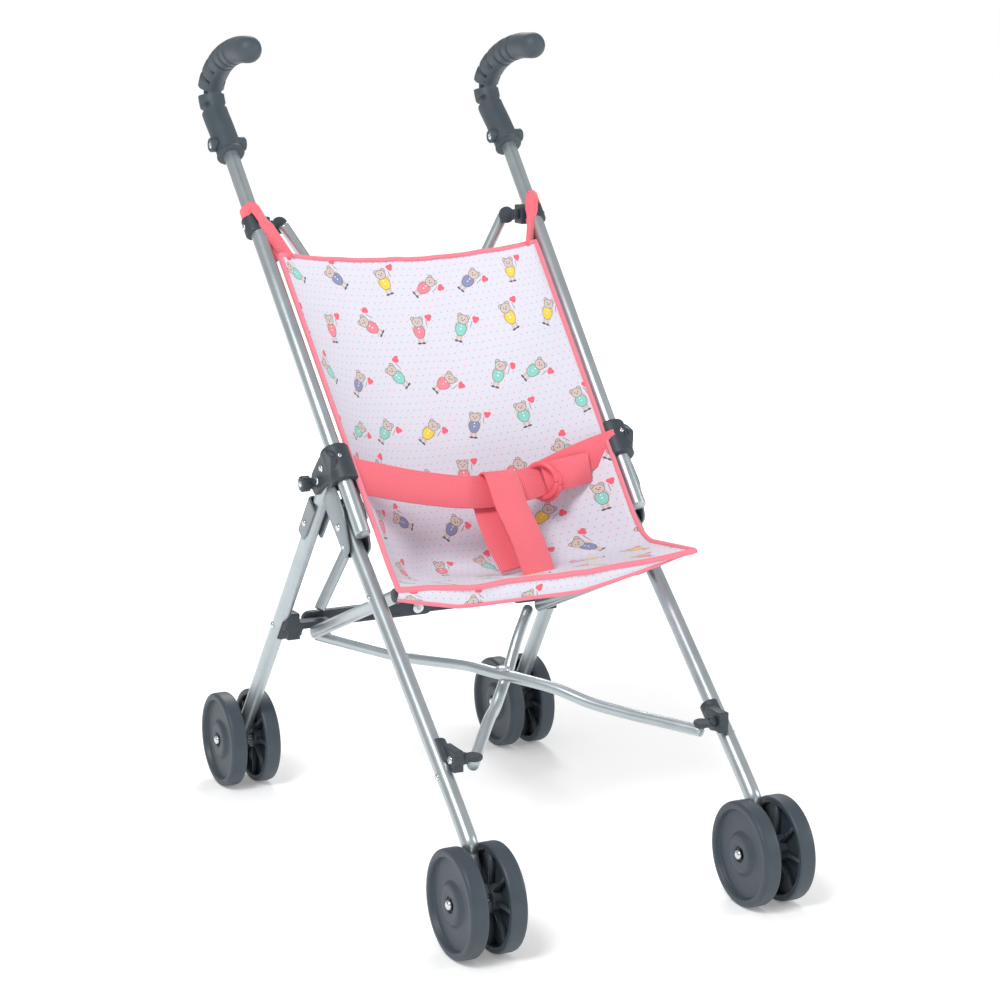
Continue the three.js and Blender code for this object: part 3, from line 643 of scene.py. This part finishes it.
    # rear bracket: a collar on the leg with an arm in to the braces and a forked lug
    arm_low, arm_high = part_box(f"rear_bracket_{label}")
    arm_z = (arm_low.z + arm_high.z) / 2
    on_rear = rear_foot + up_rear * ((arm_z - rear_foot.z) / up_rear.z)
    arm_end = arm_low.x if side > 0 else arm_high.x
    plate_y = on_rear.y - ARM_AHEAD * MM
    hug = on_rear - out * COLLAR_INWARD * MM  # the collar hugs the leg's inner side
    ring = rod(hug - up_rear * 10 * MM, hug + up_rear * 10 * MM, (TUBE_R + COLLAR_WALL) * MM, 56)
    inner_x = on_rear.x - side * (TUBE_R + 6) * MM
    arm = brick(Vector((arm_end, plate_y - 6 * MM, arm_z - 2.4 * MM)),
                Vector((on_rear.x, plate_y + 6 * MM, arm_z + 2.4 * MM)))
    cheek = brick(Vector((inner_x, plate_y - 6 * MM, arm_z - 9.6 * MM)),
                  Vector((on_rear.x - side * 2 * MM, plate_y + 6 * MM, arm_z + 9.6 * MM)))
    nose = Vector((arm_end + side * 6 * MM, plate_y, arm_z))
    eye = rod(nose - UP * 2.4 * MM, nose + UP * 2.4 * MM, 6 * MM, 40)
    web = slab([(-6, -2), (6, -2), (6, -6), (-2, -9)], Vector((inner_x, plate_y, arm_z)),
               inner_x, inner_x - side * 2.4 * MM)
    fitted(moulded(f"rear_bracket_{label}_made", [ring, arm, cheek, eye, web], 0.6, 3), leg_body,
           "bracket_plastic", f"rear_bracket_{label}")
    rivet(f"rear_bracket_rivet_{label}", on_rear + out * TUBE_R * MM, out, 2.6, 1.2, leg_body)
    rivet(f"rear_bracket_pin_{label}", nose - UP * 2.3 * MM, -UP, 2.6, 1.4, leg_body)

    # front bracket: a collar on the leg with a cheek to the lower brace's swivel
    low_pivot = PIVOT[f"lower_swivel_{label}"]
    on_front = on_leg(low_pivot.z / MM)
    hug = on_front - out * COLLAR_INWARD * MM
    ring = rod(hug - up_leg * 9 * MM, hug + up_leg * 9 * MM, (TUBE_R + COLLAR_WALL) * MM, 56)
    arm_face = low_pivot.x + side * LUG_CLEAR * MM
    arm = brick(Vector((arm_face, low_pivot.y - 6 * MM, low_pivot.z - 7 * MM)),
                Vector((arm_face + side * 7 * MM, on_front.y, low_pivot.z + 7 * MM)))
    nose_in = Vector((arm_face, low_pivot.y, low_pivot.z))
    nose_out = Vector((arm_face + side * 7 * MM, low_pivot.y, low_pivot.z))
    nose = rod(nose_in, nose_out, 7 * MM, 40)
    fitted(moulded(f"front_bracket_{label}_made", [ring, arm, nose], 0.6, 3), body, "bracket_plastic",
           f"front_bracket_{label}")
    rivet(f"front_bracket_rivet_{label}", on_front - up_leg * 16 * MM + out * TUBE_R * MM,
          out, 2.4, 1.1, body)
    rivet(f"front_bracket_pin_{label}", nose_out, out, 3.0, 1.2, body)

    # upper clamp on the handle tube
    top_pivot = PIVOT[f"upper_swivel_{label}"]
    on_handle = knuckle + up_tube * CLAMP_ABOVE_KNUCKLE * MM
    hug = on_handle + out * 1.6 * MM + BACK * 1.4 * MM
    ring = rod(hug - up_tube * 7 * MM, hug + up_tube * 7 * MM, (TUBE_R + CLAMP_WALL) * MM, 56)
    lug_face = top_pivot.x + side * LUG_CLEAR * MM
    lug = brick(Vector((lug_face, top_pivot.y - 6 * MM, top_pivot.z - 7 * MM)),
                Vector((on_handle.x, top_pivot.y + 6 * MM, top_pivot.z + 7 * MM)))
    fitted(moulded(f"upper_clamp_{label}_made", [ring, lug], 0.6, 3), body, "bracket_plastic",
           f"upper_clamp_{label}")
    rivet(f"upper_clamp_rivet_{label}", hug + out * (TUBE_R + CLAMP_WALL) * MM, out, 2.4, 1.1, body)

    # swivels: an eye for the brace on a short barrel
    for node, brace, at in ((f"upper_swivel_{label}", f"rear_brace_{label}", top_pivot),
                            (f"lower_swivel_{label}", f"lower_brace_{label}", low_pivot)):
        way = TURNS_ON[brace].normalized()
        parts = [rod(at - way * 1.4 * MM, at + way * 1.4 * MM, 6.2 * MM, 48),
                 rod(at + out * 4.5 * MM, at + out * 9 * MM, 4 * MM, 40)]
        fitted(moulded(f"{node}_made", parts, 0.5, 2), node, "bracket_plastic", node)

    # seat rail: an oval tube with a dark cap on its nose
    rail_low, rail_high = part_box(f"seat_rail_{label}")
    rail_pivot = PIVOT[f"seat_rail_{label}"]
    way = Vector((0, rail_low.y - rail_high.y, rail_high.z - rail_low.z)).normalized()
    points = [Vector(p) for p in corners_of(f"seat_rail_{label}")]
    runs = [(p - rail_pivot).dot(way) for p in points]
    rail_back = rail_pivot + way * min(runs)
    rail_front = rail_pivot + way * max(runs)

    def oval(run, angle):
        return 1 / (abs(math.cos(angle) / 0.78) ** 2.6 + abs(math.sin(angle)) ** 2.6) ** (1 / 2.6)

    fitted(tube(f"seat_rail_{label}_made", [rail_back, rail_front], RAIL_R * MM, 48, shape=oval, side=ACROSS),
           f"seat_rail_{label}", "painted_tube", f"seat_rail_{label}")
    cap_end = rail_front + way * CAP_LENGTH * MM
    cap = tube(f"rail_cap_{label}_made", [rail_front - way * 3 * MM, cap_end], CAP_R * MM, 48,
               1.4 * MM, oval, ACROSS)
    fitted(cap, f"seat_rail_{label}", "bracket_plastic", f"rail_cap_{label}")
    rivet(f"leg_rail_rivet_{label}", on_leg(rail_pivot.z / MM) + out * TUBE_R * MM, out, 2.5, 1.1, body)

    # braces of the two crosses
    brace = tube(f"rear_brace_{label}_made", straight_ends(f"rear_brace_{label}"), BRACE_R * MM, 40)
    fitted(brace, f"rear_brace_{label}", "painted_tube", f"rear_brace_{label}")
    points = corners_of(f"lower_brace_{label}")
    centre = points.mean(0)
    along = np.linalg.svd(points - centre, full_matrices=False)[2][0]
    run = (points - centre) @ along
    stops = np.linspace(run.min(), run.max(), 24)
    line = [points[abs(run - s) < 7.5 * MM].mean(0) for s in stops[1:-1]]
    first, last = points[run < run.min() + 3 * MM].mean(0), points[run > run.max() - 3 * MM].mean(0)
    bent = smooth_path([Vector(p) for p in (first, *line[1:-1:2], last)], 80)
    fitted(tube(f"lower_brace_{label}_made", bent, BRACE_R * MM, 40), f"lower_brace_{label}", "painted_tube",
           f"lower_brace_{label}")

    # wheels: smooth tread, raised rim, sunken ring and domed hub, with a ribbed hollow back
    for end in ("front", "rear"):
        hub = middle(f"{end}_axle_{label}")
        axle_body = body if end == "front" else leg_body
        reach = (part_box(f"{end}_axle_{label}")[1].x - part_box(f"{end}_axle_{label}")[0].x) / 2 / MM
        head_form = [(0, reach - 0.4), (1.6, reach - 0.5), (2.8, reach - 1.1), (3.3, reach - 2),
                     (3.3, reach - 3.4), (2.6, reach - 3.6), (2.6, 0), (0, 0)]
        heads = [turned("head", head_form, hub, ACROSS * way, 40) for way in (-1, 1)]
        fitted(joined(f"{end}_axle_{label}_made", heads), axle_body, "zinc_rivets", f"{end}_axle_{label}")
        for place, way in (("inner", -side), ("outer", side)):
            node = f"{end}_wheel_{place}_{label}"
            low_x, high_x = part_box(node)[0].x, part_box(node)[1].x
            centre = Vector(((low_x + high_x) / 2, hub.y, hub.z))
            profile = softened([
                (3.4, 3.6), (5, 3.8), (5.4, 5.2), (10.5, 5.3), (12.5, 4.8), (15, 2.4), (28.6, 2.4),
                (29.4, 4.8), (30.2, 6), (33, 6), (34.6, 5), (35, 3.4), (35, -4.6), (34.2, -6),
                (31.4, -6), (30.4, -5.2),
                (30, -0.6), (9.6, -0.6), (9, -6), (3.4, -6), (3.4, 3.6)], 0.6, 3)
            disc = turned("disc", [(p.x, p.y) for p in profile], centre, ACROSS * way, 112)
            ribs = []
            for k in range(8):
                spoke = Matrix.Rotation(2 * math.pi * k / 8, 3, "X") @ UP
                flank = ACROSS.cross(spoke) * 0.8 * MM
                near, far = centre + spoke * 8.5 * MM, centre + spoke * 30.6 * MM
                rows = [[p + f + ACROSS * way * h * MM for h, f in ((-0.4, -flank), (-4.6, -flank * 0.7),
                                                                   (-4.6, flank * 0.7), (-0.4, flank))]
                        for p in (near, far)]
                ribs.append(skin("rib", rows, [0, 4 * MM, 5 * MM, 9 * MM, 10 * MM], [0, 22 * MM]))
            fitted(joined(f"{node}_made", [disc, *ribs]), node, "wheel_plastic", node)

    # where the seat cloth hangs: beside the handle tube, down to the front of the rail
    def beside_tube(z, knuckle=knuckle, up_tube=up_tube, side=side):
        spot = knuckle + up_tube * ((z * MM - knuckle.z) / up_tube.z)
        return spot + mm(-side * 8.5, -5, 0)

    corners[label] = {"top": beside_tube(SEAT_TOP_Z), "hem": beside_tube(SEAT_HEM_Z), "cap": cap_end,
                      "loop": knuckle + up_tube * ((LOOP_Z * MM - knuckle.z) / up_tube.z), "up": up_tube}

# ---- cross rivets, lock bar and knob ----
for node, body in (("rear_brace_rivet", "rear_brace_left"), ("lower_brace_rivet", "lower_brace_right")):
    way = TURNS_ON[body].normalized()
    way = way if (way.z > 0) == (node == "lower_brace_rivet") else -way
    head = turned(f"{node}_made", [(0, 1.0), (1.6, 0.9), (3.6, 0.6), (5, -0.4), (5, -1), (0, -1)],
                  middle(node), way, 48)
    fitted(head, body, "zinc_rivets", node)

for label, side in SIDES.items():
    node = f"lock_bar_{label}"
    low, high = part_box(node)
    half_tall = (high.z - low.z) / 2
    mid_z = (high.z + low.z) / 2
    ends = (low.x + half_tall, high.x - half_tall)
    ring = []
    for centre_x, first in ((ends[1], -90), (ends[0], 90)):
        for k in range(15):
            angle = math.radians(first + k * 180 / 14)
            ring.append((centre_x + half_tall * math.cos(angle), mid_z + half_tall * math.sin(angle)))
    rings = [[Vector((x, y, z)) for x, z in ring] for y in (low.y, high.y)]
    plate = skin("plate", rings, lengths_along([*rings[0], rings[0][0]]), [0, high.y - low.y])
    far_x = (ends[0], ends[1] - 20 * MM) if side < 0 else (ends[0] + 26 * MM, ends[1])
    ribs = [tube("rib", [Vector((far_x[0], low.y + 0.3 * MM, mid_z + shift)),
                         Vector((far_x[1], low.y + 0.3 * MM, mid_z + shift))], 1.3 * MM, 16)
            for shift in (-half_tall + 1.4 * MM, half_tall - 1.4 * MM)]
    boss = [turned("boss", [(0, 2.2), (5.2, 2.2), (6.4, 1.8), (7.2, 0.6), (7.2, -1), (0, -1)],
                   Vector((ends[1], low.y, mid_z)), -BACK, 48)] if side > 0 else []
    piece = joined(f"{node}_made", [plate, *ribs, *boss])
    bevel = piece.modifiers.new("soft_edges", "BEVEL")
    bevel.width, bevel.segments, bevel.limit_method = 0.7 * MM, 3, "ANGLE"
    fitted(applied(piece), node, "bracket_plastic", node)

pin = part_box("lock_pin")
pin_at = Vector((0, pin[0].y, middle("lock_pin").z))
pin_form = [(1.4, 0.2), (1.8, -0.2), (2.6, -0.2), (3.9, -0.6), (4.5, -1.4), (4.5, -2.4), (0, -2.4),
            (0, -1.0), (1.4, -1.0), (1.4, 0.2)]
fitted(turned("lock_pin_made", pin_form, pin_at, -BACK, 48),
       "lock_bar_left", "zinc_rivets", "lock_pin")

low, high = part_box("latch_knob")
knob_mid = middle("latch_knob")
grip_to = Vector((low.x, knob_mid.y, knob_mid.z))
grip_from = Vector((low.x + 6.4 * MM, knob_mid.y, knob_mid.z))


def fluted(run, angle):
    return 0.95 + 0.05 * math.cos(12 * angle)


knob = tube("knob", [grip_from, grip_from.lerp(grip_to, 0.5), grip_to], 5.6 * MM, 96, 0.9 * MM, fluted)
stem = rod(grip_from + ACROSS * 2.6 * MM, grip_from - ACROSS * 1 * MM, 4 * MM, 40)
fitted(joined("latch_knob_made", [knob, stem]), "latch_knob", "bracket_plastic", "latch_knob")
rivet("latch_knob_pin", grip_to, -ACROSS, 2.2, 0.9, "latch_knob")

# ---- seat cloth: one sheet for back and seat, hung from four corners ----
FOLD_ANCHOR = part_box("handle_tube_left")[1] * 1.0
FOLD_ANCHOR.x = corners["left"]["hem"].x
COLUMNS, ROWS, BEND_ROW = 72, 108, 0.7
bend_mid = Vector((0, 30.4, 182)) * MM
top_left, top_right = corners["left"]["top"], corners["right"]["top"]
hem_left, hem_right = corners["left"]["hem"], corners["right"]["hem"]
cap_left, cap_right = corners["left"]["cap"], corners["right"]["cap"]
# the front edge; its right end is pulled further forward than its left
front_knots = [cap_left + mm(-4, -2, 3), cap_left + mm(32, -18, 4), cap_right + mm(-75, -16, 4),
               cap_right + mm(-32, -27, 8), cap_right + mm(14, -48, 19)]
front_at = (-1, -0.62, 0.16, 0.6, 1)
front_line = [Vector([np.interp(u, front_at, [p[k] for p in front_knots]) for k in range(3)])
              for u in np.linspace(-1, 1, 9)]
front_edge = smooth_path(front_line, COLUMNS + 1)


def seat_point(column, row):
    u = 2 * column / COLUMNS - 1
    top = top_left.lerp(top_right, (u + 1) / 2) + mm(0, 6, -9) * (1 - u * u)
    hem = hem_left.lerp(hem_right, (u + 1) / 2)
    hollow = 1 - abs(u) ** 3.0
    bend = hem.lerp(Vector((hem.x, bend_mid.y, bend_mid.z)), hollow)
    front = front_edge[column]
    found = Vector((0, 0, 0))
    steps = 9
    for k in range(steps):
        near_end = min(1, 4 * row / ROWS, 4 - 4 * row / ROWS)
        v = min(1, max(0, row / ROWS + (k / (steps - 1) - 0.5) * 0.12 * near_end))
        found += (top.lerp(bend, v / BEND_ROW) if v < BEND_ROW
                  else bend.lerp(front, (v - BEND_ROW) / (1 - BEND_ROW))) / steps
    inner = (1 - u * u) ** 0.5
    creases = noise.noise(Vector((u * 3.1, row / ROWS * 5.0, 2.0))) * 2.4
    creases += noise.noise(Vector((u * 8.0, row / ROWS * 11.0, 5.0))) * 0.7
    for corner_u, corner_v in ((-1, 0), (1, 0), (-1, BEND_ROW), (1, BEND_ROW)):
        du, dv = (u - corner_u) * 100, (row / ROWS - corner_v) * 330
        away = math.hypot(du, dv)
        creases += 1.5 * math.sin(9 * math.atan2(dv, du)) * math.exp(-away / 42) * min(1, away / 12)
    return found + mm(0, 0.8, 0.6) * creases * inner


seat_rows = [[seat_point(c, r) for c in range(COLUMNS + 1)] for r in range(ROWS + 1)]
middle_run = lengths_along([row[COLUMNS // 2] for row in seat_rows])
width_run = lengths_along(seat_rows[ROWS // 3])


def cloth(name, rows, across, along):
    """A thin sheet with a real thickness."""
    piece = skin(name, rows, across, along, closed=False)
    thick = piece.modifiers.new("cloth", "SOLIDIFY")
    thick.thickness, thick.offset = CLOTH * MM, 0
    return applied(piece)


def soft(piece, slot, *nodes, finish=None):
    """A soft piece hangs on the left side, with a mesh of its own."""
    fitted(piece, "left_side", slot, *nodes, finish=finish)
    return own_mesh(piece)


sling = soft(cloth("seat_sling_cloth", seat_rows, width_run, middle_run), "printed_fabric", "seat_sling")
outline = [*seat_rows[0], *[row[-1] for row in seat_rows[1:]], *seat_rows[-1][-2::-1],
           *[row[0] for row in seat_rows[-2::-1]]]


def flattened(run, angle):
    return 0.82 + 0.18 * abs(math.cos(angle))


binding = soft(tube("seat_binding", outline, BINDING_R * MM, 14, shape=flattened), "webbing",
               finish=coral_binding)

# valance below the front edge, tapering away at both ends
valance_rows = []
for k in range(9):
    share = k / 8
    row = []
    for c, point in enumerate(front_edge):
        u = 2 * c / COLUMNS - 1
        drop = DROP * min(1, max(0.08, (1 - u) / 0.75), 0.5 + (u + 1) * 1.3) * share
        wave = noise.noise(Vector((u * 4, share, 9))) * 1.2 * share
        row.append(point + mm(0, wave + 2.2 * share * share, -drop - 0.4))
    valance_rows.append(row)
valance = soft(cloth("front_valance_cloth", valance_rows, lengths_along(front_edge),
                     [DROP * MM * k / 8 for k in range(9)]), "printed_fabric", "front_valance")
valance_binding = soft(tube("valance_binding", valance_rows[-1], 1.6 * MM, 14), "webbing",
                       finish=coral_binding)


# ---- straps ----
def strap(name, points, wide, width, count=60, nodes=()):
    path = smooth_path([Vector(p) * MM for p in points], count)
    ways = [wide[0].lerp(wide[1], k / (count - 1)) if len(wide) == 2 else wide[0] for k in range(count)]
    return soft(ribbon(name, path, ways, width * MM, WEBBING * MM), "webbing", *nodes)


lap = strap("lap_strap_left_part",
            [(-101, 8, 267), (-84, 8, 262), (-50, 9, 253), (-15, 11, 246), (12, 12, 244), (36, 13, 246),
             (52, 14, 249)],
            [Vector((0, 0.1, 1)), Vector((0, 0.45, 0.9))], 23, nodes=("lap_strap",))
lap_right = strap("lap_strap_right_part",
                  [(51, 15, 250), (66, 14, 256), (84, 8, 264), (96, 3, 269), (104, 1, 272)],
                  [Vector((0, 0.4, 1)), Vector((0, 0, 1))], 22, 40)
lap_tail = strap("lap_strap_tail", [(51, 11, 249), (62, 8, 252), (73, 6, 254), (84, 5, 256)],
                 [Vector((0, 0.3, 1)), Vector((0.1, 0, 1))], 22, 36)
crotch = strap("crotch_strap_webbing",
               [(22, -40, 194), (21, -22, 216), (18, -4, 236), (16, 3, 250), (15, 11, 257.5),
                (14, 19, 251), (10, 16, 236), (10, -2, 214), (14, -20, 195)],
               [ACROSS, ACROSS], 25, 110, nodes=("crotch_strap",))

rings = []
for x, y, z, turn in ((49, 12, 248, 56), (53, 13, 246, 64)):
    facing = Matrix.Rotation(math.radians(-turn), 3, "Z") @ BACK
    aside = facing.cross(UP)
    loop = [Vector((x, y, z)) * MM + (aside * math.cos(a) + UP * math.sin(a)) * 12 * MM
            for a in np.linspace(0, 2 * math.pi, 61)]
    rings.append(tube("ring", loop, 1.9 * MM, 20))
soft(joined("buckle_rings", rings), "coral_plastic", "buckle_ring")

for label, side in SIDES.items():
    spot = corners[label]
    tube_at, up = spot["loop"], spot["up"]
    forwards = (-BACK + up * BACK.dot(up)).normalized()
    around = [tube_at + (forwards * math.cos(a) + ACROSS * side * math.sin(a)) * 7.2 * MM
              for a in np.radians([0, 45, 90, 135, 180])]
    low = spot["top"] + mm(0, 0, -3)
    points = [low + mm(-side * 6, -1.5, 0), low.lerp(around[0], 0.5) + mm(-side * 3, -1, 0), *around,
              low.lerp(around[-1], 0.45) + mm(0, 1, 0), low + mm(-side * 1, 1.5, 0)]
    path = smooth_path(points, 64)
    flat_way = Vector((-side * 0.7, -0.34, 0.62))
    ways = [flat_way.lerp(up, max(0, min(1, 2.2 - abs(k / 63 - 0.5) * 6))) for k in range(64)]
    soft(ribbon(f"corner_loop_{label}_webbing", path, ways, 9.5 * MM, WEBBING * MM), "webbing",
         f"corner_loop_{label}")

# ---- floor, light and camera ----
# the paper brightens away from the stroller, so that it meets the backdrop without an edge
floor_mesh = bpy.data.meshes.new("floor")
floor_mesh.from_pydata([(-6, -6, 0), (6, -6, 0), (6, 6, 0), (-6, 6, 0)], [], [(0, 1, 2, 3)])
floor = piece_of("floor", floor_mesh)
paper, paper_tree, paper_shader = start("white_paper_floor", Roughness=0.9)
paper_shader.inputs["Base Color"].default_value = linear("#fdfdfd")
paper_shader.inputs["Emission Color"].default_value = linear("#ffffff")
spread = add(paper_tree, "ShaderNodeTexCoord", out="Object")
spread = add(paper_tree, "ShaderNodeVectorMath", {0: spread}, out="Value", operation="LENGTH")
glow = add(paper_tree, "ShaderNodeMapRange", {"Value": spread, "From Min": 0.3, "From Max": 1.6,
                                              "To Min": 0.2, "To Max": 0.62})
paper_tree.links.new(glow, paper_shader.inputs["Emission Strength"])
floor.data.materials.append(paper)

scene = bpy.context.scene
scene.view_settings.view_transform = "Standard"
world = bpy.data.worlds.new("studio")
scene.world = world
world.use_nodes = True
backdrop = world.node_tree.nodes["Background"]
backdrop.inputs["Color"].default_value = linear("#ffffff")
# the eye sees a white backdrop, and the object is lit by a softer grey one
seen = add(world.node_tree, "ShaderNodeLightPath", out="Is Camera Ray")
level = add(world.node_tree, "ShaderNodeMapRange", {"Value": seen, "To Min": 0.5, "To Max": 1.0})
world.node_tree.links.new(level, backdrop.inputs["Strength"])


def softbox(name, place, target, size, power):
    light = bpy.data.lights.new(name, "AREA")
    light.shape, light.size, light.energy = "DISK", size, power
    lamp = bpy.data.objects.new(name, light)
    scene.collection.objects.link(lamp)
    lamp.location = place
    lamp.rotation_euler = (Vector(target) - Vector(place)).to_track_quat("-Z", "Y").to_euler()


softbox("key", (-1.6, -1.3, 2.4), (0, 0, 0.25), 1.0, 46)
softbox("fill", (2.0, -1.4, 1.2), (0, 0, 0.25), 0.8, 14)
softbox("rim", (0.8, 2.0, 1.8), (0, 0, 0.25), 0.8, 18)

camera_data = bpy.data.cameras.new("camera")
camera_data.lens, camera_data.sensor_width = 91.96, 36
camera = bpy.data.objects.new("camera", camera_data)
scene.collection.objects.link(camera)
camera.location = (-0.74927, -1.55334, 0.60114)
camera.rotation_euler = (math.radians(78.2), 0, math.radians(-26.078))
scene.camera = camera
